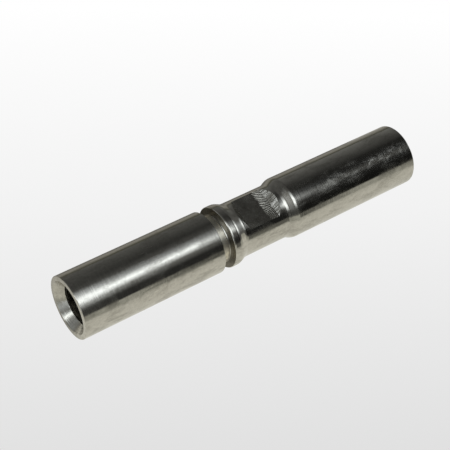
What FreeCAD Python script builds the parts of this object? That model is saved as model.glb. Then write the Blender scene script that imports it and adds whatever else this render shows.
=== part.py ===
import FreeCAD, Part, Sketcher

import os
import re

# Rigid coupling rod: a turned stainless steel body and a threaded sleeve that
# screws onto the body's spigot, against a narrow spacer ring. Both free ends are
# tapped, and two wrench flats are milled across the neck.
# Frame: +X along the rod from the sleeve to the body, +Z up, square to the upper
# wrench flat. The origin is on the axis, halfway along the rod.

driving_sizes = {
    # whole rod
    "rod_length": 197.0,
    "barrel_radius": 16.0,
    "edge_break": 0.4,
    # tapped ends: each hole is the minor diameter of a 24 x 3 metric thread
    "end_thread_radius": 10.4,
    "end_thread_depth": 38.0,
    "mouth_radius": 13.6,
    "mouth_depth": 4.2,
    "drill_point_depth": 5.0,
    # threaded sleeve: its inner end is tapped 20 x 1.5 for the spigot
    "sleeve_length": 77.2,
    "inner_thread_radius": 9.2,
    "inner_mouth_depth": 0.9,
    # spacer ring, whose outside is also that of the foot it seats on
    "ring_outer_radius": 12.6,
    "ring_bore_radius": 10.3,
    "ring_width": 4.6,
    "ring_edge_break": 0.25,
    "foot_width": 1.3,
    # spigot: its thread is a running fit in the sleeve, its shank in the ring
    "spigot_length": 40.0,
    "spigot_clearance": 0.05,
    "spigot_lead": 1.2,
    "shank_radius": 10.15,
    "shank_length": 4.2,
    # collar, neck and shoulder
    "neck_radius": 14.2,
    "collar_width": 4.2,
    "collar_slope": 3.8,
    "neck_length": 26.9,
    "shoulder_slope": 3.6,
    # wrench flats for a 22 mm spanner: their distance from the axis, the run
    # between their 45 degree ends, and the neck left in front of them
    "flat_distance": 11.0,
    "flat_length": 16.7,
    "flat_start": 1.0,
}

document = FreeCAD.newDocument("coupling_rod")
sheet = document.addObject("Spreadsheet::Sheet", "Sizes")
for row, (alias, value) in enumerate(driving_sizes.items(), start=1):
    sheet.set(f"A{row}", alias)
    sheet.set(f"B{row}", str(value))
    sheet.setAlias(f"B{row}", alias)
document.recompute()


def cells(formula):
    """Turn a formula of alias names into an expression that reads the sheet."""
    return re.sub(r"[a-z_]+", lambda name: "Sizes." + name.group(), formula)


def new_body(label, place):
    """Start a body whose own zero lies on the axis, at the given place along the rod."""
    body = document.addObject("PartDesign::Body", label)
    body.Label = label
    body.setExpression("Placement.Base.x", cells(place + " - rod_length / 2"))
    return body


def origin_item(body, role):
    """Find one of the body's own planes or axes by its role."""
    return next(item for item in body.Origin.OriginFeatures if item.Role == role)


def outline(body, name, corners):
    """Draw a closed outline in the body's XZ plane, each corner bound to the sheet.

    A corner is a pair of formulas: its distance along the rod from the body's
    zero, and its distance from the axis.
    """
    sketch = body.newObject("Sketcher::SketchObject", name)
    sketch.AttachmentSupport = [(origin_item(body, "XZ_Plane"), "")]
    sketch.MapMode = "FlatFace"
    places = [[sheet.evalExpression(cells(formula)) for formula in corner] for corner in corners]
    for index, start in enumerate(places):
        end = places[(index + 1) % len(places)]
        sketch.addGeometry(
            Part.LineSegment(FreeCAD.Vector(*start, 0), FreeCAD.Vector(*end, 0))
        )
    for index in range(len(corners)):
        following = (index + 1) % len(corners)
        sketch.addConstraint(Sketcher.Constraint("Coincident", index, 2, following, 1))
    for index, corner in enumerate(corners):
        for direction, formula, value in zip(("DistanceX", "DistanceY"), corner, places[index]):
            number = sketch.addConstraint(
                Sketcher.Constraint(direction, -1, 1, index, 1, value)
            )
            sketch.setExpression(f"Constraints[{number}]", cells(formula))
    return sketch


def turn(body, kind, name, sketch):
    """Turn an outline about the rod's axis: a Revolution adds it, a Groove cuts it."""
    feature = body.newObject("PartDesign::" + kind, name)
    feature.Profile = sketch
    feature.ReferenceAxis = (origin_item(body, "X_Axis"), [""])
    feature.Angle = 360
    document.recompute()
    return feature


def make_sleeve():
    sleeve = new_body("threaded_sleeve", "0")
    section = outline(
        sleeve,
        "SleeveSection",
        [
            ("0", "mouth_radius"),
            ("mouth_depth", "end_thread_radius"),
            ("end_thread_depth", "end_thread_radius"),
            ("end_thread_depth", "inner_thread_radius"),
            ("sleeve_length - inner_mouth_depth", "inner_thread_radius"),
            ("sleeve_length", "inner_thread_radius + inner_mouth_depth"),
            ("sleeve_length", "barrel_radius - edge_break"),
            ("sleeve_length - edge_break", "barrel_radius"),
            ("edge_break", "barrel_radius"),
            ("0", "barrel_radius - edge_break"),
        ],
    )
    turn(sleeve, "Revolution", "SleeveTurned", section)
    return sleeve


def make_ring():
    ring = new_body("spacer_ring", "sleeve_length")
    section = outline(
        ring,
        "RingSection",
        [
            ("0", "ring_bore_radius"),
            ("ring_width", "ring_bore_radius"),
            ("ring_width", "ring_outer_radius - ring_edge_break"),
            ("ring_width - ring_edge_break", "ring_outer_radius"),
            ("ring_edge_break", "ring_outer_radius"),
            ("0", "ring_outer_radius - ring_edge_break"),
        ],
    )
    turn(ring, "Revolution", "RingTurned", section)
    return ring


def make_rod_body():
    """Build the one-piece body: spigot, collar, neck and the right barrel."""
    spigot_radius = "inner_thread_radius - spigot_clearance"
    collar_face = "spigot_length + foot_width"
    collar_end = collar_face + " + collar_width"
    neck_start = collar_end + " + collar_slope"
    neck_end = neck_start + " + neck_length"
    body_end = "rod_length - sleeve_length - ring_width + spigot_length"

    rod = new_body("rod_body", "sleeve_length + ring_width - spigot_length")
    section = outline(
        rod,
        "BodySection",
        [
            ("0", "0"),
            ("0", spigot_radius + " - spigot_lead"),
            ("spigot_lead", spigot_radius),
            ("spigot_length - shank_length", spigot_radius),
            ("spigot_length - shank_length", "shank_radius"),
            ("spigot_length", "shank_radius"),
            ("spigot_length", "ring_outer_radius"),
            (collar_face, "ring_outer_radius"),
            (collar_face, "barrel_radius - edge_break"),
            (collar_face + " + edge_break", "barrel_radius"),
            (collar_end, "barrel_radius"),
            (neck_start, "neck_radius"),
            (neck_end, "neck_radius"),
            (neck_end + " + shoulder_slope", "barrel_radius"),
            (body_end + " - edge_break", "barrel_radius"),
            (body_end, "barrel_radius - edge_break"),
            (body_end, "0"),
        ],
    )
    turned = turn(rod, "Revolution", "BodyTurned", section)

    hole = outline(
        rod,
        "BlindHoleSection",
        [
            (body_end + " - end_thread_depth - drill_point_depth", "0"),
            (body_end + " - end_thread_depth", "end_thread_radius"),
            (body_end + " - mouth_depth", "end_thread_radius"),
            (body_end, "mouth_radius"),
            (body_end, "0"),
        ],
    )
    drilled = turn(rod, "Groove", "BlindHole", hole)

    # the milled ends rise at 45 degrees, and clear the metal at the barrel's radius
    flat_from = neck_start + " + flat_start + neck_radius - flat_distance"
    flat_to = flat_from + " + flat_length"
    clear_height = "barrel_radius - flat_distance"
    flat = outline(
        rod,
        "FlatSection",
        [
            (flat_from, "flat_distance"),
            (flat_to, "flat_distance"),
            (f"{flat_to} + {clear_height}", "barrel_radius"),
            (f"{flat_from} - ({clear_height})", "barrel_radius"),
        ],
    )
    upper = rod.newObject("PartDesign::Pocket", "UpperFlat")
    upper.Profile = flat
    upper.Type = "ThroughAll"
    upper.Midplane = True
    document.recompute()
    both = rod.newObject("PartDesign::Mirrored", "BothFlats")
    both.Originals = [upper]
    both.MirrorPlane = (origin_item(rod, "XY_Plane"), [""])
    rod.Tip = both
    document.recompute()

    # each cut has to take metal away
    volumes = [feature.Shape.Volume for feature in (turned, drilled, upper, both)]
    if volumes != sorted(set(volumes), reverse=True):
        raise RuntimeError(f"a cut of rod_body removes nothing: {volumes}")
    return rod


def check_document():
    for item in document.Objects:
        if "Invalid" in item.State or "Error" in item.State:
            raise RuntimeError(f"{item.Label} failed: {item.State}")


pieces = [make_sleeve(), make_ring(), make_rod_body()]
document.recompute()
check_document()

os.makedirs("parts", exist_ok=True)
for piece in pieces:
    if piece.Shape.isNull() or not piece.Shape.isValid() or len(piece.Shape.Solids) != 1:
        raise RuntimeError(f"{piece.Label} is not one sound solid")
    piece.Shape.exportStep(f"parts/{piece.Label}.step")
    print(f"{piece.Label}: {piece.Shape.Volume / 1000:.1f} cm3, {piece.Shape.BoundBox}")
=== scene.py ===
import math

import bmesh
import bpy
from mathutils import Matrix, Quaternion, Vector


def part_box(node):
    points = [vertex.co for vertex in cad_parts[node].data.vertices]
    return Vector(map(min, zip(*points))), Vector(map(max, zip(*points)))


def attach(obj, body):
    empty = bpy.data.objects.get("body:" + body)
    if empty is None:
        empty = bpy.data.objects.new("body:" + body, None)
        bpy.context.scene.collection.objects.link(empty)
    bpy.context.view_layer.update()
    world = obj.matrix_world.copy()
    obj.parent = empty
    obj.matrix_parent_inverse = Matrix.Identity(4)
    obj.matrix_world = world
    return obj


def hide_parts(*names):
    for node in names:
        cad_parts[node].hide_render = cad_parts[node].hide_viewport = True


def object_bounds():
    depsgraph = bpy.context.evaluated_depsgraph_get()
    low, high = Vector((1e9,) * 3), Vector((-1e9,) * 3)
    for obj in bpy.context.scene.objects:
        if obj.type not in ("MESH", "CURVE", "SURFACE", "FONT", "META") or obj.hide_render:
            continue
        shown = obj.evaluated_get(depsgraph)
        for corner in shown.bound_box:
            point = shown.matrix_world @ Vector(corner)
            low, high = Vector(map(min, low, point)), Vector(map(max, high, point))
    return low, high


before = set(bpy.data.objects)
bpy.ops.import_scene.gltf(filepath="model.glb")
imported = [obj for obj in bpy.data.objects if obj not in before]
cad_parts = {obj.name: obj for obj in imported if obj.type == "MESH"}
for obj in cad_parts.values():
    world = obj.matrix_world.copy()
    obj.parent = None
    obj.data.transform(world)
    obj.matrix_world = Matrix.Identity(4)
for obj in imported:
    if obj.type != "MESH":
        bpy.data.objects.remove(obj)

cadLow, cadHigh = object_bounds()
mm = 0.001

sleeveLow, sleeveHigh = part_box("threaded_sleeve")
ringLow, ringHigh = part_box("spacer_ring")
bodyLow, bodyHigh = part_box("rod_body")
barrelRadius = sleeveHigh[2]
ringRadius = ringHigh[2]
rodAxis = (1, 0, 0)
turnSteps = 192  # straight edges round a turned surface
faceRim = 1.2 * mm  # an end face is turned this far in, and filled up to its hole later


# Small tools for meshes

def startOutline(points):
    # points are (distance along the rod, radius) in metres, joined in order
    bm = bmesh.new()
    verts = [bm.verts.new((x, 0, r)) for x, r in points]
    for first, second in zip(verts, verts[1:]):
        bm.edges.new((first, second))
    return bm


def turnOutline(bm):
    bmesh.ops.spin(bm, geom=bm.verts[:] + bm.edges[:], cent=(0, 0, 0), axis=rodAxis,
                   dvec=(0, 0, 0), angle=2 * math.pi, steps=turnSteps, use_merge=True,
                   use_duplicate=False)
    bmesh.ops.remove_doubles(bm, verts=bm.verts[:], dist=1e-6)
    return bm


def radiusOf(vert):
    return math.hypot(vert.co.y, vert.co.z)


def setRadius(vert, radius):
    scale = radius / max(radiusOf(vert), 1e-9)
    vert.co.y *= scale
    vert.co.z *= scale


def roundRing(bm, x, radius, width, segments=3):
    # rounds the circular edge that stands at x with the given radius
    near = 0.02 * mm
    edges = [e for e in bm.edges
             if all(abs(v.co.x - x) < near and abs(radiusOf(v) - radius) < near for v in e.verts)]
    bmesh.ops.bevel(bm, geom=edges, offset=width, offset_type="OFFSET", affect="EDGES",
                    segments=segments, profile=0.5, material=-1, clamp_overlap=True)


def openLoop(bm, x):
    # the open edges that lie in the plane square to the rod at x
    return [e for e in bm.edges
            if e.is_boundary and all(abs(v.co.x - x) < 0.02 * mm for v in e.verts)]


def trimAt(bm, x, keepHigher, rimRadius):
    # trims a thread square to the rod, and leaves the open edge there a true circle
    side = 1 if keepHigher else -1
    past = [v for v in bm.verts if (v.co.x - x) * side < 0.02 * mm]
    for v in past:
        v.co.x = x
        setRadius(v, rimRadius)
    beyond = set(past)
    bmesh.ops.delete(bm, geom=[f for f in bm.faces if beyond.issuperset(f.verts)], context="FACES")
    bmesh.ops.remove_doubles(bm, verts=[v for v in past if v.is_valid], dist=1e-6)


def joinInto(bm, other):
    # adds the geometry of another bmesh, which is freed
    mesh = bpy.data.meshes.new("joining")
    other.to_mesh(mesh)
    other.free()
    bm.from_mesh(mesh)
    bpy.data.meshes.remove(mesh)


def finishPiece(name, bm, sharpAngle=28):
    bmesh.ops.remove_doubles(bm, verts=bm.verts[:], dist=1e-6)
    bmesh.ops.recalc_face_normals(bm, faces=bm.faces[:])
    mesh = bpy.data.meshes.new(name)
    bm.to_mesh(mesh)
    bm.free()
    mesh.polygons.foreach_set("use_smooth", [True] * len(mesh.polygons))
    mesh.set_sharp_from_angle(angle=math.radians(sharpAngle))
    piece = bpy.data.objects.new(name, mesh)
    bpy.context.scene.collection.objects.link(piece)
    return piece


# Screw threads

endThread = {"pitch": 3.0 * mm, "crest": 10.4 * mm, "root": 12.0 * mm,
             "depth": 38.0 * mm, "mouthRadius": 13.6 * mm, "mouthDepth": 4.2 * mm, "runIn": 2.5 * mm,
             "runOut": 3.0 * mm, "drillPoint": 5.0 * mm}
spigotThread = {"pitch": 1.5 * mm, "crest": 9.2 * mm, "root": 10.03 * mm, "flat": 0.375 * mm,
                "maleRoot": 9.0 * mm, "maleCrest": 9.98 * mm, "maleFlat": 0.24 * mm}
threadSteps = 96  # per turn


def spinThread(profile, pitch, start, end):
    # winds a one-pitch profile of (along, radius) round the rod as a right-hand thread:
    # one turn is spun, and the others are copies of it a pitch apart
    bm = startOutline([(start - 2 * pitch + along, radius) for along, radius in profile])
    bmesh.ops.spin(bm, geom=bm.verts[:] + bm.edges[:], cent=(0, 0, 0), axis=rodAxis,
                   dvec=(pitch / threadSteps, 0, 0), angle=2 * math.pi, steps=threadSteps,
                   use_merge=False, use_duplicate=False)
    turn = bm.verts[:] + bm.edges[:] + bm.faces[:]
    for count in range(1, math.ceil((end - start) / pitch) + 3):
        copied = bmesh.ops.duplicate(bm, geom=turn)["geom"]
        bmesh.ops.translate(bm, verts=[g for g in copied if isinstance(g, bmesh.types.BMVert)],
                            vec=(count * pitch, 0, 0))
    bmesh.ops.remove_doubles(bm, verts=bm.verts[:], dist=1e-6)
    return bm


def threadProfile(pitch, inner, outer, innerFlat, steps=4):
    # 60 degree form: a flat at the inner radius, a flank, a flat at the outer radius, a flank
    flank = (outer - inner) * math.tan(math.radians(30))
    outerFlat = pitch - innerFlat - 2 * flank
    corners = [(0, inner), (innerFlat, inner), (innerFlat + flank, outer),
               (innerFlat + flank + outerFlat, outer), (pitch, inner)]
    points = [corners[0]]
    for (x0, r0), (x1, r1) in zip(corners, corners[1:]):
        for i in range(1, steps + 1):
            t = i / steps
            points.append((x0 + (x1 - x0) * t, r0 + (r1 - r0) * t))
    return points


def cutTappedHole(thread, blind):
    # a tapped hole with its mouth at x = 0 and its far end at the thread's depth
    bm = spinThread(threadProfile(thread["pitch"], thread["crest"], thread["root"],
                                  thread["pitch"] / 4),
                    thread["pitch"], 0, thread["depth"])
    slope = (thread["mouthRadius"] - thread["crest"]) / thread["mouthDepth"]
    for v in bm.verts:
        runOut = (thread["depth"] - v.co.x) / thread["runOut"]
        runIn = (v.co.x - thread["mouthDepth"]) / thread["runIn"]
        share = max(0, min(1, runOut, runIn))
        radius = thread["crest"] + (radiusOf(v) - thread["crest"]) * share
        setRadius(v, max(radius, thread["mouthRadius"] - slope * v.co.x))
    trimAt(bm, 0, True, thread["mouthRadius"])
    trimAt(bm, thread["depth"], False, thread["crest"])
    if blind:
        drawn = bmesh.ops.extrude_edge_only(bm, edges=openLoop(bm, thread["depth"]))["geom"]
        point = [g for g in drawn if isinstance(g, bmesh.types.BMVert)]
        for v in point:
            v.co = (thread["depth"] + thread["drillPoint"], 0, 0)
        bmesh.ops.remove_doubles(bm, verts=point, dist=1e-6)
    return bm


def closeFace(bm, x):
    # fills the flat ring between the two open edges that lie at x
    bmesh.ops.triangle_fill(bm, edges=openLoop(bm, x), use_beauty=True, use_dissolve=False,
                            normal=(1, 0, 0))


# Threaded sleeve

sleeve = {"edgeBreak": 0.4 * mm, "edgeSegments": 3, "innerMouth": 10.1 * mm}


def makeSleeve():
    start, end = sleeveLow[0], sleeveHigh[0]
    step = start + endThread["depth"]
    bm = startOutline([(start, barrelRadius - faceRim), (start, barrelRadius), (end, barrelRadius),
                       (end, sleeve["innerMouth"] + 1 * mm)])
    turnOutline(bm)
    for x in (start, end):
        roundRing(bm, x, barrelRadius, sleeve["edgeBreak"], sleeve["edgeSegments"])

    tapped = cutTappedHole(endThread, False)
    bmesh.ops.translate(tapped, verts=tapped.verts[:], vec=(start, 0, 0))
    joinInto(bm, tapped)
    closeFace(bm, start)

    profile = threadProfile(spigotThread["pitch"], spigotThread["crest"], spigotThread["root"],
                            spigotThread["flat"], steps=2)
    inner = spinThread(profile, spigotThread["pitch"], step, end)
    for v in inner.verts:
        left = min((v.co.x - step) / mm, 1)
        radius = spigotThread["crest"] + (radiusOf(v) - spigotThread["crest"]) * max(left, 0)
        cone = sleeve["innerMouth"] - (end - v.co.x)
        setRadius(v, max(radius, cone))
    trimAt(inner, step, True, spigotThread["crest"])
    trimAt(inner, end, False, sleeve["innerMouth"])
    joinInto(bm, inner)
    closeFace(bm, step)
    closeFace(bm, end)
    return finishPiece("threadedSleeve", bm)


# Spacer ring

ring = {"bore": 10.3 * mm, "edgeBreak": 0.25 * mm}


def makeRing():
    start, end = ringLow[0], ringHigh[0]
    bm = startOutline([(start, ring["bore"]), (start, ringRadius), (end, ringRadius),
                       (end, ring["bore"]), (start, ring["bore"])])
    turnOutline(bm)
    for x in (start, end):
        roundRing(bm, x, ringRadius, ring["edgeBreak"])
    return finishPiece("spacerRing", bm)


# Rod body

rod = {"footWidth": 1.3 * mm, "collarWidth": 4.2 * mm, "slope": 3.8 * mm, "neck": 26.9 * mm,
       "shoulder": 3.6 * mm, "neckRadius": 14.2 * mm, "edgeBreak": 0.4 * mm,
       "shankRadius": 10.15 * mm, "shankLength": 4.2 * mm, "spigotLead": 1.2 * mm,
       "threadRunOut": 1.5 * mm, "ledge": 1.0 * mm,
       "rise": 0.12 * mm, "runUp": 2.6 * mm,  # the turning tool lifts a little at both ends of the neck
       "flatDistance": 11.0 * mm, "flatLength": 16.7 * mm, "flatStart": 1.0 * mm}
# how wide each turned edge of the rod body is rounded
edges = {"foot": 0.2 * mm, "collarFace": 0.6 * mm, "collarSlope": 0.9 * mm, "neckStart": 0.7 * mm,
         "neckEnd": 1.0 * mm, "shoulder": 1.0 * mm}


def makeRodBody():
    footStart = ringHigh[0]
    collarStart = footStart + rod["footWidth"]
    collarEnd = collarStart + rod["collarWidth"]
    neckStart = collarEnd + rod["slope"]
    neckEnd = neckStart + rod["neck"]
    barrelStart = neckEnd + rod["shoulder"]
    end = bodyHigh[0]
    shankStart = footStart - rod["shankLength"]
    neckTop = rod["neckRadius"] + rod["rise"]
    halfway = rod["neckRadius"] + rod["rise"] / 4

    bm = startOutline([(shankStart, spigotThread["root"] - 0.2 * mm), (shankStart, rod["shankRadius"]),
                       (footStart, rod["shankRadius"]), (footStart, ringRadius),
                       (collarStart, ringRadius), (collarStart, barrelRadius),
                       (collarStart + rod["ledge"], barrelRadius), (collarEnd - rod["ledge"], barrelRadius),
                       (collarEnd, barrelRadius), (neckStart, neckTop),
                       (neckStart + rod["runUp"] / 2, halfway),
                       (neckStart + rod["runUp"], rod["neckRadius"]),
                       (neckEnd - rod["runUp"], rod["neckRadius"]),
                       (neckEnd - rod["runUp"] / 2, halfway),
                       (neckEnd, neckTop), (barrelStart, barrelRadius),
                       (end, barrelRadius), (end, barrelRadius - faceRim)])
    turnOutline(bm)
    for x, radius, width in ((footStart, ringRadius, edges["foot"]),
                             (collarStart, barrelRadius, edges["collarFace"]),
                             (collarEnd, barrelRadius, edges["collarSlope"]),
                             (neckStart, neckTop, edges["neckStart"]),
                             (neckEnd, neckTop, edges["neckEnd"]),
                             (barrelStart, barrelRadius, edges["shoulder"]),
                             (end, barrelRadius, rod["edgeBreak"])):
        roundRing(bm, x, radius, width)

    # tapped end, turned to face +X
    tapped = cutTappedHole(endThread, True)
    bmesh.ops.rotate(tapped, verts=tapped.verts[:], cent=(0, 0, 0), matrix=Matrix.Rotation(math.pi, 3, "Z"))
    bmesh.ops.translate(tapped, verts=tapped.verts[:], vec=(end, 0, 0))
    joinInto(bm, tapped)
    closeFace(bm, end)

    # male thread in step with the sleeve's, a little thinner on each flank
    tip = bodyLow[0]
    bottom = spigotThread["maleRoot"]
    profile = threadProfile(spigotThread["pitch"], bottom, spigotThread["maleCrest"],
                            spigotThread["maleFlat"], steps=2)
    shift = (spigotThread["flat"] - spigotThread["maleFlat"]) / 2
    male = spinThread([(along + shift, radius) for along, radius in profile],
                      spigotThread["pitch"], sleeveLow[0] + endThread["depth"], shankStart)
    for v in male.verts:
        radius = min(radiusOf(v), spigotThread["root"] - rod["spigotLead"] + (v.co.x - tip))
        left = (shankStart - v.co.x) / rod["threadRunOut"]
        if left < 1:
            radius = bottom + (radius - bottom) * max(left, 0)
        setRadius(v, max(radius, 1 * mm))
    trimAt(male, tip, True, spigotThread["root"] - rod["spigotLead"])
    trimAt(male, shankStart, False, bottom)
    closeFace(male, tip)
    joinInto(bm, male)
    closeFace(bm, shankStart)

    piece = finishPiece("rodBody", bm)
    millFlats(piece, neckStart)
    return piece


def millFlats(piece, neckStart):
    # cuts both wrench flats, with ends that rise at 45 degrees
    height = barrelRadius + 1 * mm - rod["flatDistance"]
    first = neckStart + rod["flatStart"] + rod["neckRadius"] - rod["flatDistance"]
    last = first + rod["flatLength"]
    cutter = bmesh.new()
    corners = [(first, rod["flatDistance"]), (last, rod["flatDistance"]),
               (last + height, rod["flatDistance"] + height), (first - height, rod["flatDistance"] + height)]
    face = cutter.faces.new([cutter.verts.new((x, -1.5 * barrelRadius, z)) for x, z in corners])
    drawn = bmesh.ops.extrude_face_region(cutter, geom=[face])["geom"]
    bmesh.ops.translate(cutter, verts=[g for g in drawn if isinstance(g, bmesh.types.BMVert)],
                        vec=(0, 3 * barrelRadius, 0))
    bmesh.ops.mirror(cutter, geom=cutter.verts[:] + cutter.edges[:] + cutter.faces[:],
                     axis="Z", merge_dist=0)
    bmesh.ops.recalc_face_normals(cutter, faces=cutter.faces[:])
    mesh = bpy.data.meshes.new("flatCutter")
    cutter.to_mesh(mesh)
    cutter.free()
    block = bpy.data.objects.new("flatCutter", mesh)
    bpy.context.scene.collection.objects.link(block)
    cut = piece.modifiers.new("flats", "BOOLEAN")
    cut.operation = "DIFFERENCE"
    cut.solver = "EXACT"
    cut.object = block
    done = bpy.data.meshes.new_from_object(
        piece.evaluated_get(bpy.context.evaluated_depsgraph_get()))
    piece.modifiers.clear()
    whole = piece.data
    piece.data = done
    bpy.data.meshes.remove(whole)
    done.name = piece.name
    bpy.data.objects.remove(block)
    bpy.data.meshes.remove(mesh)
    done.set_sharp_from_angle(angle=math.radians(28))


def keepLongFacesStraight(piece):
    # the broad turned faces set the shading, and the small rounded edges give way to them
    shading = piece.modifiers.new("weightedNormals", "WEIGHTED_NORMAL")
    shading.mode = "FACE_AREA"
    shading.weight = 50
    shading.keep_sharp = True


# Materials

def hexColour(code):
    channels = [int(code[i:i + 2], 16) / 255 for i in (1, 3, 5)]
    return [c / 12.92 if c <= 0.04045 else ((c + 0.055) / 1.055) ** 2.4 for c in channels] + [1.0]


def addNode(tree, kind, settings=None, links=None):
    # settings are the node's own properties or its sockets' values, links are socket: (node, output)
    node = tree.nodes.new(kind)
    for name, value in (settings or {}).items():
        if isinstance(name, str) and hasattr(node, name):
            setattr(node, name, value)
        else:
            node.inputs[name].default_value = value
    for name, (source, output) in (links or {}).items():
        tree.links.new(source.outputs[output], node.inputs[name])
    return node


def setRamp(node, stops):
    # stops are (place, linear colour)
    ramp = node.color_ramp
    ramp.interpolation = "LINEAR"
    while len(ramp.elements) > 1:
        ramp.elements.remove(ramp.elements[-1])
    for i, (place, colour) in enumerate(stops):
        stop = ramp.elements[0] if i == 0 else ramp.elements.new(place)
        stop.position = place
        stop.color = colour
    return node


def grey(value):
    return (value, value, value, 1.0)


def newMaterial(name):
    material = bpy.data.materials.new(name)
    material.use_nodes = True
    material.node_tree.nodes.clear()
    return material, material.node_tree


def remap(tree, source, output, lowest, highest, toLow, toHigh, smooth=False):
    return addNode(tree, "ShaderNodeMapRange",
                   {"interpolation_type": "SMOOTHSTEP" if smooth else "LINEAR", "From Min": lowest,
                    "From Max": highest, "To Min": toLow, "To Max": toHigh}, {"Value": (source, output)})


def noise(tree, source, output, size, detail=3.0, roughness=0.55, distortion=0.0):
    # size is how many cells there are per metre
    return addNode(tree, "ShaderNodeTexNoise", {"Scale": size, "Detail": detail, "Roughness": roughness,
                                                "Distortion": distortion}, {"Vector": (source, output)})


def stretched(tree, where, scale, turn=(0, 0, 0)):
    return addNode(tree, "ShaderNodeMapping", {"Scale": scale, "Rotation": turn},
                   {"Vector": (where, "Object")})


def latheCoordinates(tree, where):
    # (along the rod, distance from its axis, a slow change round it), so that a pattern on it
    # makes rings on every turned face, straight, sloping or square to the rod
    parts = addNode(tree, "ShaderNodeSeparateXYZ", links={"Vector": (where, "Object")})
    across = addNode(tree, "ShaderNodeCombineXYZ", links={"Y": (parts, "Y"), "Z": (parts, "Z")})
    radius = addNode(tree, "ShaderNodeVectorMath", {"operation": "LENGTH"}, {0: (across, "Vector")})
    slow = addNode(tree, "ShaderNodeVectorMath", {"operation": "DOT_PRODUCT", 1: (0, 0.03, 0.02)},
                   {0: (where, "Object")})
    return addNode(tree, "ShaderNodeCombineXYZ", links={"X": (parts, "X"), "Y": (radius, "Value"),
                                                        "Z": (slow, "Value")})


# Lathe-turned stainless steel: a bright mirror with soft edges, fine rings from the tool, cloudy
# smears from handling and a few hairline scratches. Tool lines are really 0.1 mm apart and are drawn
# 0.8 mm apart so that they show.
turned = {"base": "#CAC7BF", "worn": "#A3A098", "smooth": 0.06, "rough": 0.19, "lineSize": 1250,
          "lineDepth": 0.012 * mm, "bandSize": 240, "bandDepth": 0.020 * mm, "smearSize": 170,
          "smearDepth": 0.018 * mm, "scratchDepth": 0.004 * mm}
# Countersunk and faced ends: the same steel with coarser rings and a duller, softer mirror
faced = dict(turned, base="#C4C1B8", smooth=0.12, rough=0.24, lineSize=1100, lineDepth=0.13 * mm,
             bandSize=500, bandDepth=0.05 * mm)
# The recess beside the ring: the same steel with painted shade, darker and duller where the groove lies in
# shadow
recessShade = dict(turned, base="#7D786C", worn="#5E5A50", smooth=0.20, rough=0.34)
# The loose ring: a freshly parted-off washer, brighter and a little warmer
ringFinish = dict(turned, base="#DDD6C4", smooth=0.27, rough=0.36, lineSize=1400, lineDepth=0.07 * mm)


def turnedSteel(name, look):
    material, tree = newMaterial(name)
    where = addNode(tree, "ShaderNodeTexCoord")
    lathe = latheCoordinates(tree, where)
    lines = noise(tree, lathe, "Vector", look["lineSize"], 3.0, 0.7)
    bands = noise(tree, lathe, "Vector", look["bandSize"], 3.0, 0.6)
    # cloudy smears, drawn out along the rod
    drawn = stretched(tree, where, (0.45, 1, 1))
    smears = noise(tree, drawn, "Vector", look["smearSize"], 6.0, 0.68, 0.4)
    smear = remap(tree, smears, "Fac", 0.43, 0.66, 0.0, 1.0, True)
    grain = noise(tree, where, "Object", 700, 2.0, 0.6)
    # hairline scratches: thin lines where a long stretched noise crosses its middle value
    slanted = stretched(tree, where, (0.08, 1, 1), (0.0, 0.12, 0.16))
    hair = noise(tree, slanted, "Vector", 260, 0.0, 0.4)
    offMiddle = addNode(tree, "ShaderNodeMath", {"operation": "SUBTRACT", 1: 0.5}, {0: (hair, "Fac")})
    nearMiddle = addNode(tree, "ShaderNodeMath", {"operation": "ABSOLUTE"}, {0: (offMiddle, 0)})
    thin = remap(tree, nearMiddle, 0, 0.0, 0.006, 1.0, 0.0)
    patches = noise(tree, where, "Object", 45, 2.0, 0.5)
    patch = remap(tree, patches, "Fac", 0.55, 0.68, 0.0, 0.8)
    scratch = addNode(tree, "ShaderNodeMath", {"operation": "MULTIPLY"}, {0: (thin, 0), 1: (patch, 0)})

    lineRough = remap(tree, lines, "Fac", 0.3, 0.7, look["smooth"], look["smooth"] + 0.05)
    smearRough = addNode(tree, "ShaderNodeMath",
                         {"operation": "MULTIPLY_ADD", 1: look["rough"] - look["smooth"]},
                         {0: (smear, "Result"), 2: (lineRough, "Result")})
    roughness = addNode(tree, "ShaderNodeMath", {"operation": "MULTIPLY_ADD", 1: 0.15},
                        {0: (scratch, 0), 2: (smearRough, 0)})
    grainAmount = remap(tree, grain, "Fac", 0.35, 0.75, 0.0, 0.35)
    wear = addNode(tree, "ShaderNodeMath", {"operation": "MULTIPLY_ADD", 1: 0.6, "use_clamp": True},
                   {0: (smear, "Result"), 2: (grainAmount, "Result")})
    tint = addNode(tree, "ShaderNodeMix", {"data_type": "RGBA", 6: hexColour(look["base"]),
                                           7: hexColour(look["worn"])}, {0: (wear, 0)})
    smearBump = addNode(tree, "ShaderNodeBump", {"Strength": 1.0, "Distance": look["smearDepth"]},
                        {"Height": (smears, "Fac")})
    bandBump = addNode(tree, "ShaderNodeBump", {"Strength": 1.0, "Distance": look["bandDepth"]},
                       {"Height": (bands, "Fac"), "Normal": (smearBump, "Normal")})
    lineBump = addNode(tree, "ShaderNodeBump", {"Strength": 1.0, "Distance": look["lineDepth"]},
                       {"Height": (lines, "Fac"), "Normal": (bandBump, "Normal")})
    scratchBump = addNode(tree, "ShaderNodeBump", {"Strength": 1.0, "Distance": look["scratchDepth"]},
                          {"Height": (scratch, 0), "Normal": (lineBump, "Normal")})
    shader = addNode(tree, "ShaderNodeBsdfPrincipled", {"Metallic": 1.0},
                     {"Base Color": (tint, 2), "Roughness": (roughness, 0),
                      "Normal": (scratchBump, "Normal")})
    addNode(tree, "ShaderNodeOutputMaterial", links={"Surface": (shader, "BSDF")})
    return material


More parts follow.
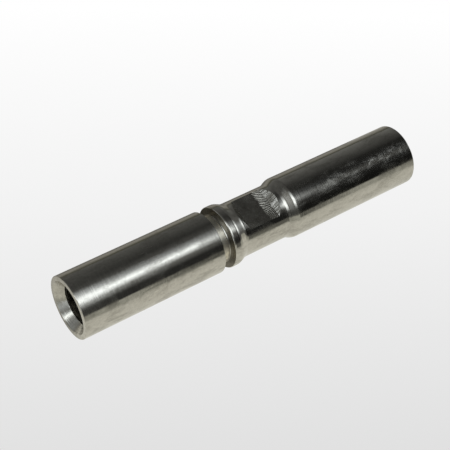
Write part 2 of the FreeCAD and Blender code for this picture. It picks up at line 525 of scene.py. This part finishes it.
# Milled flats: satin steel with the cutter's curved strokes, deep only where it ran out at the far wall.
# The strokes are 1 mm apart there.
milled = {"base": "#BDBAB1", "shade": "#A39F96", "roughness": 0.22, "pitch": 1.0 * mm, "depth": 0.065 * mm,
          "centre": (-8.0 * mm, -6.0 * mm), "wander": 1.1 * mm, "reach": 4.4 * mm, "fadeIn": 1.6 * mm,
          "raggedBy": 2.2 * mm, "fineSize": 2200, "fineDepth": 0.03 * mm}


def milledSteel(wallFoot):
    material, tree = newMaterial("milledStainlessSteel")
    where = addNode(tree, "ShaderNodeTexCoord")
    toCentre = (-(wallFoot + milled["centre"][0]), -milled["centre"][1], 0)
    centred = addNode(tree, "ShaderNodeMapping", {"Location": toCentre}, {"Vector": (where, "Object")})
    parts = addNode(tree, "ShaderNodeSeparateXYZ", links={"Vector": (centred, "Vector")})
    plane = addNode(tree, "ShaderNodeCombineXYZ", links={"X": (parts, "X"), "Y": (parts, "Y")})
    radius = addNode(tree, "ShaderNodeVectorMath", {"operation": "LENGTH"}, {0: (plane, "Vector")})
    angle = addNode(tree, "ShaderNodeMath", {"operation": "ARCTAN2"}, {0: (parts, "Y"), 1: (parts, "X")})
    slow = addNode(tree, "ShaderNodeMath", {"operation": "MULTIPLY", 1: 0.0012}, {0: (angle, 0)})
    swept = addNode(tree, "ShaderNodeCombineXYZ", links={"X": (radius, "Value"), "Y": (slow, 0)})

    # a wave across the strokes, its crests shifted and broken up by noise
    wander = noise(tree, swept, "Vector", 700, 3.0, 0.6)
    shifted = addNode(tree, "ShaderNodeMath", {"operation": "MULTIPLY_ADD", 1: milled["wander"]},
                      {0: (wander, "Fac"), 2: (radius, "Value")})
    phase = addNode(tree, "ShaderNodeMath", {"operation": "MULTIPLY", 1: 2 * math.pi / milled["pitch"]},
                    {0: (shifted, 0)})
    wave = addNode(tree, "ShaderNodeMath", {"operation": "SINE"}, {0: (phase, 0)})
    ragged = noise(tree, where, "Object", 500, 2.0, 0.6)
    start = addNode(tree, "ShaderNodeMath", {"operation": "MULTIPLY_ADD", 1: milled["raggedBy"]},
                    {0: (ragged, "Fac"), 2: (parts, "X")})
    wallAt = -milled["centre"][0]
    firstStroke = wallAt - milled["reach"]
    near = remap(tree, start, 0, firstStroke, firstStroke + milled["fadeIn"], 0.04, 1.0, True)
    deep = addNode(tree, "ShaderNodeMath", {"operation": "MULTIPLY"}, {0: (wave, 0), 1: (near, 0)})
    deepBump = addNode(tree, "ShaderNodeBump", {"Strength": 1.0, "Distance": milled["depth"]},
                       {"Height": (deep, 0)})
    fine = noise(tree, swept, "Vector", milled["fineSize"], 2.0, 0.6)
    fineBump = addNode(tree, "ShaderNodeBump", {"Strength": 1.0, "Distance": milled["fineDepth"]},
                       {"Height": (fine, "Fac"), "Normal": (deepBump, "Normal")})
    clouds = noise(tree, where, "Object", 160, 4.0, 0.6)
    roughness = remap(tree, clouds, "Fac", 0.3, 0.7, milled["roughness"] - 0.04, milled["roughness"] + 0.08)
    tint = setRamp(addNode(tree, "ShaderNodeValToRGB", links={"Fac": (clouds, "Fac")}),
                   [(0.3, hexColour(milled["shade"])), (0.7, hexColour(milled["base"]))])
    shader = addNode(tree, "ShaderNodeBsdfPrincipled", {"Metallic": 1.0},
                     {"Base Color": (tint, "Color"), "Roughness": (roughness, 0),
                      "Normal": (fineBump, "Normal")})
    addNode(tree, "ShaderNodeOutputMaterial", links={"Surface": (shader, "BSDF")})
    return material


# Sloping ends of the flats: grey side-milled steel with straight scores across the slope
scored = {"base": "#CFCDC6", "shade": "#76736B", "roughness": (0.18, 0.30), "size": 900, "depth": 0.15 * mm}


def scoredSteel():
    material, tree = newMaterial("sideMilledStainlessSteel")
    where = addNode(tree, "ShaderNodeTexCoord")
    along = stretched(tree, where, (0.12, 1, 0.12), (0, 0, 0.12))
    scores = noise(tree, along, "Vector", scored["size"], 3.0, 0.75)
    scoreBump = addNode(tree, "ShaderNodeBump", {"Strength": 1.0, "Distance": scored["depth"]},
                        {"Height": (scores, "Fac")})
    roughness = remap(tree, scores, "Fac", 0.3, 0.7, *scored["roughness"])
    tint = setRamp(addNode(tree, "ShaderNodeValToRGB", links={"Fac": (scores, "Fac")}),
                   [(0.40, hexColour(scored["shade"])), (0.62, hexColour(scored["base"]))])
    shader = addNode(tree, "ShaderNodeBsdfPrincipled", {"Metallic": 1.0},
                     {"Base Color": (tint, "Color"), "Roughness": (roughness, 0),
                      "Normal": (scoreBump, "Normal")})
    addNode(tree, "ShaderNodeOutputMaterial", links={"Surface": (shader, "BSDF")})
    return material


# Tapped threads: cut steel, darker and duller than the turned faces, with a mottled tone
darkThread = {"base": "#8B877C", "shade": "#57544C", "roughness": (0.26, 0.42), "size": 350, "depth": 0.02 * mm}


def darkThreadSteel():
    material, tree = newMaterial("darkThreadStainlessSteel")
    where = addNode(tree, "ShaderNodeTexCoord")
    mottle = noise(tree, where, "Object", darkThread["size"], 4.0, 0.6)
    tint = setRamp(addNode(tree, "ShaderNodeValToRGB", links={"Fac": (mottle, "Fac")}),
                   [(0.35, hexColour(darkThread["shade"])), (0.65, hexColour(darkThread["base"]))])
    roughness = remap(tree, mottle, "Fac", 0.3, 0.7, *darkThread["roughness"])
    mottleBump = addNode(tree, "ShaderNodeBump", {"Strength": 1.0, "Distance": darkThread["depth"]},
                   {"Height": (mottle, "Fac")})
    shader = addNode(tree, "ShaderNodeBsdfPrincipled", {"Metallic": 1.0},
                     {"Base Color": (tint, "Color"), "Roughness": (roughness, 0),
                      "Normal": (mottleBump, "Normal")})
    addNode(tree, "ShaderNodeOutputMaterial", links={"Surface": (shader, "BSDF")})
    return material


def giveFinishes(piece, materials, choose):
    # choose gives the place in the list for a face with this centre and normal
    piece.data.materials.clear()
    for material in materials:
        piece.data.materials.append(material)
    for face in piece.data.polygons:
        face.material_index = choose(face.center, face.normal)


def finishOf(centre, normal):
    # 0 turned, 1 countersunk or faced, 2 thread, 3 milled flat, 4 sloping end of a flat, 5 recess with
    # painted shade
    radius = math.hypot(centre.y, centre.z)
    inward = (centre.y * normal.y + centre.z * normal.z) < -1e-5
    toEnd = min(centre.x - cadLow[0], cadHigh[0] - centre.x)
    if abs(abs(centre.z) - rod["flatDistance"]) < 1e-5 and abs(normal.z) > 0.99:
        return 3
    if abs(abs(normal.x) - abs(normal.z)) < 1e-3 and abs(normal.y) < 1e-3 and radius > rod["flatDistance"]:
        return 4
    if toEnd < endThread["mouthDepth"] + 0.1 * mm and (inward or abs(normal.x) > 0.9):
        return 1
    if inward or radius < spigotThread["root"] + 0.05 * mm:
        return 2
    # the collar's face beside the ring gets the recess finish, which is painted shade
    if normal.x < -0.9 and abs(centre.x - ringHigh[0] - rod["footWidth"]) < 0.3 * mm:
        return 5
    return 0


# Stage, light and camera

camera = {"aim": (-8.6 * mm, 3.6 * mm, 1.8 * mm), "azimuth": -48.0, "elevation": 53.98,
          "distance": 585.1 * mm, "roll": 16.82, "lens": 95.74}


def placeCamera():
    data = bpy.data.cameras.new("studioCamera")
    data.lens = camera["lens"]
    data.sensor_width = 36
    data.clip_start, data.clip_end = 0.01, 50
    eye = bpy.data.objects.new("studioCamera", data)
    bpy.context.scene.collection.objects.link(eye)
    around, above = math.radians(camera["azimuth"]), math.radians(camera["elevation"])
    back = Vector((math.sin(around) * math.cos(above), -math.cos(around) * math.cos(above),
                   math.sin(above)))
    eye.rotation_mode = "QUATERNION"
    eye.location = Vector(camera["aim"]) + back * camera["distance"]
    eye.rotation_quaternion = ((-back).to_track_quat("-Z", "Y")
                               @ Quaternion((0, 0, 1), math.radians(camera["roll"])))
    bpy.context.scene.camera = eye


# the mirrored colours are a painted reflection and the shade stops a painted shadow; both are lists by
# depth, from 0 at half a metre in front to 1 at half a metre behind
paper = {"near": "#E0E0E0", "middle": "#F2F2F2", "far": "#FFFFFF",
         "slope": (0.45, 0.89, 0.0), "start": -0.12, "end": 0.16, "halfSize": 3.0,
         "paintedReflection": [(0.0, (0.45, 0.45, 0.4, 1)), (0.5, (0.74, 0.73, 0.66, 1)),
                      (0.55, (0.35, 0.34, 0.31, 1)), (0.75, (0.1, 0.1, 0.08, 1))],
         "shade": [(0.488, 0), (0.498, 0.85), (0.53, 0.8), (0.57, 0)], "shaded": "#38352E"}


def makeFloor():
    bm = bmesh.new()
    bmesh.ops.create_grid(bm, x_segments=1, y_segments=1, size=paper["halfSize"])
    bmesh.ops.translate(bm, verts=bm.verts[:], vec=(0, 0, cadLow[2]))
    mesh = bpy.data.meshes.new("floor")
    bm.to_mesh(mesh)
    bm.free()
    floor = bpy.data.objects.new("floor", mesh)
    bpy.context.scene.collection.objects.link(floor)

    material, tree = newMaterial("palePaper")
    where = addNode(tree, "ShaderNodeTexCoord")
    along = addNode(tree, "ShaderNodeVectorMath", {"operation": "DOT_PRODUCT", 1: paper["slope"]},
                    {0: (where, "Object")})
    place = remap(tree, along, "Value", paper["start"], paper["end"], 0.0, 1.0)
    seen = setRamp(addNode(tree, "ShaderNodeValToRGB", links={"Fac": (place, "Result")}),
                   [(0.0, hexColour(paper["near"])), (0.5, hexColour(paper["middle"])),
                    (1.0, hexColour(paper["far"]))])
    # painted reflection: for rays off the steel the floor glows warm paper, painted palest beside the rod,
    # dimmer in front and dark behind
    parts = addNode(tree, "ShaderNodeSeparateXYZ", links={"Vector": (where, "Object")})
    depth = remap(tree, parts, "Y", -0.5, 0.5, 0.0, 1.0)
    paintedReflection = setRamp(addNode(tree, "ShaderNodeValToRGB", links={"Fac": (depth, "Result")}),
                       paper["paintedReflection"])
    # painted shadow: the strip of paper under and just behind the rod is painted darker as the rod's shade
    length = addNode(tree, "ShaderNodeMath", {"operation": "ABSOLUTE"}, {0: (parts, "X")})
    beside = remap(tree, length, 0, cadHigh[0] - 2 * mm, cadHigh[0] + 4 * mm, 1.0, 0.0, True)
    under = setRamp(addNode(tree, "ShaderNodeValToRGB", links={"Fac": (depth, "Result")}),
                    [(at, grey(dark)) for at, dark in paper["shade"]])
    shade = addNode(tree, "ShaderNodeMath", {"operation": "MULTIPLY"},
                    {0: (beside, 0), 1: (under, "Color")})
    shaded = addNode(tree, "ShaderNodeMix", {"data_type": "RGBA", 7: hexColour(paper["shaded"])},
                     {0: (shade, 0), 6: (paintedReflection, "Color")})
    ray = addNode(tree, "ShaderNodeLightPath")
    colour = addNode(tree, "ShaderNodeMix", {"data_type": "RGBA"},
                     {0: (ray, "Is Camera Ray"), 6: (shaded, 2), 7: (seen, "Color")})
    # the floor glows instead of being lit, so its reflected light and shadow are painted into this colour
    glow = addNode(tree, "ShaderNodeEmission", {"Strength": 1.0}, {"Color": (colour, 2)})
    addNode(tree, "ShaderNodeOutputMaterial", links={"Surface": (glow, "Emission")})
    mesh.materials.append(material)


# A soft strip light hangs over the rod and a little in front, in a dim room with a paler back wall.
# Each list is (degrees, brightness) round the rod: 0 is straight up, 90 behind, -90 in front.
# The lists are for directions from one end of the rod to the other, and blend into each other.
roomMouth = [(-80, 0.75), (-45, 0.4), (-15, 0.22), (0, 0.5), (14, 2.0), (32, 0.3), (60, 0.16), (110, 0.4)]
roomSlope = [(-60, 0.15), (-40, 0.5), (-10, 1.5), (20, 1.2), (45, 0.35), (90, 0.25)]
roomGap = [(-60, 0.05), (-20, 0.3), (10, 0.25), (30, 0.08), (100, 0.16)]
roomTilt = [(-50, 0.1), (-28, 1.5), (-14, 1.5), (0, 0.7), (15, 0.1), (70, 0.1), (130, 0.3)]
roomLeft = [(-55, 0.03), (-36, 0.2), (-20, 1.5), (-5, 0.4), (10, 0.1), (30, 0.04), (100, 0.15), (130, 0.3)]
roomRight = [(-55, 0.01), (-35, 0.02), (-20, 0.08), (-5, 0.02), (20, 0.02), (60, 0.12), (130, 0.3)]
roomEnd = [(-60, 0.15), (-15, 0.45), (20, 0.15), (60, 0.1), (130, 0.3)]
room = {"zones": [roomMouth, roomSlope, roomGap, roomTilt, roomLeft, roomRight, roomTilt, roomEnd],
        "borders": [(-0.75, -0.58), (-0.40, -0.30), (-0.12, 0.0), (0.28, 0.35), (0.40, 0.52),
                    (0.6, 0.66), (0.74, 0.9)],
        "dark": (0.985, 1.0, 0.975), "bright": (1.22, 1.30, 1.36),
        "sweepColour": (0.45, 0.45, 0.40), "sweepEdge": -75,
        "sweepDimming": [(0.36, 1.0), (0.4, 0.1), (0.46, 0.4), (0.5, 0.2), (0.53, 1.0)],
        "seen": "#F4F4F4"}


def lightStudio():
    world = bpy.data.worlds.new("studio")
    bpy.context.scene.world = world
    world.use_nodes = True
    tree = world.node_tree
    tree.nodes.clear()
    where = addNode(tree, "ShaderNodeTexCoord")
    parts = addNode(tree, "ShaderNodeSeparateXYZ", links={"Vector": (where, "Generated")})
    angle = addNode(tree, "ShaderNodeMath", {"operation": "ARCTAN2"}, {0: (parts, "Y"), 1: (parts, "Z")})
    turn = remap(tree, angle, 0, -math.pi, math.pi, 0.0, 1.0)
    air, output = None, 0
    for i, stops in enumerate(room["zones"]):
        colours = [(a / 360 + 0.5, [v * c for c in (room["bright"] if v > 0.3 else room["dark"])] + [1])
                   for a, v in stops]
        zone = setRamp(addNode(tree, "ShaderNodeValToRGB", links={"Fac": (turn, "Result")}), colours)
        if i == 0:
            air, output = zone, "Color"
            continue
        share = remap(tree, parts, "X", *room["borders"][i - 1], 0.0, 1.0, True)
        air = addNode(tree, "ShaderNodeMix", {"data_type": "RGBA"},
                      {0: (share, "Result"), 6: (air, output), 7: (zone, "Color")})
        output = 2

    # the paper sweeps up in front, and lies in shade across the middle
    edge = (room["sweepEdge"] + 180) / 360
    clear = remap(tree, turn, "Result", edge - 0.007, edge + 0.007, 0.0, 1.0, True)
    dimming = setRamp(addNode(tree, "ShaderNodeValToRGB", links={"Fac": (parts, "X")}),
                      [(x, [c * v for c in room["sweepColour"]] + [1]) for x, v in room["sweepDimming"]])
    full = addNode(tree, "ShaderNodeMix", {"data_type": "RGBA"},
                   {0: (clear, "Result"), 6: (dimming, "Color"), 7: (air, 2)})
    ray = addNode(tree, "ShaderNodeLightPath")
    shown = addNode(tree, "ShaderNodeMix", {"data_type": "RGBA", 7: hexColour(room["seen"])},
                    {0: (ray, "Is Camera Ray"), 6: (full, 2)})
    back = addNode(tree, "ShaderNodeBackground", {"Strength": 1.0}, {"Color": (shown, 2)})
    addNode(tree, "ShaderNodeOutputWorld", links={"Surface": (back, "Background")})


flatEnd = (ringHigh[0] + rod["footWidth"] + rod["collarWidth"] + rod["slope"] + rod["flatStart"]
           + rod["neckRadius"] - rod["flatDistance"] + rod["flatLength"])
# the recess finish is painted shade on the collar face beside the ring
finishes = [turnedSteel("turnedStainlessSteel", turned), turnedSteel("facedStainlessSteel", faced),
            darkThreadSteel(), milledSteel(flatEnd), scoredSteel(), turnedSteel("recessPaintedShadeSteel", recessShade)]
for make, node, body, slot in ((makeSleeve, "threaded_sleeve", "sleeve", "turned_steel"),
                               (makeRing, "spacer_ring", "ring", "ring_steel"),
                               (makeRodBody, "rod_body", "body", "turned_steel")):
    piece = make()
    keepLongFacesStraight(piece)
    if node == "spacer_ring":
        giveFinishes(piece, [turnedSteel("partedStainlessSteel", ringFinish)], lambda centre, normal: 0)
    else:
        giveFinishes(piece, finishes, finishOf)
    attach(piece, body)
    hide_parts(node)
    print(piece.name, len(piece.data.polygons), "faces")

placeCamera()
makeFloor()
lightStudio()
bpy.context.scene.view_settings.view_transform = "Standard"

bpy.context.view_layer.update()
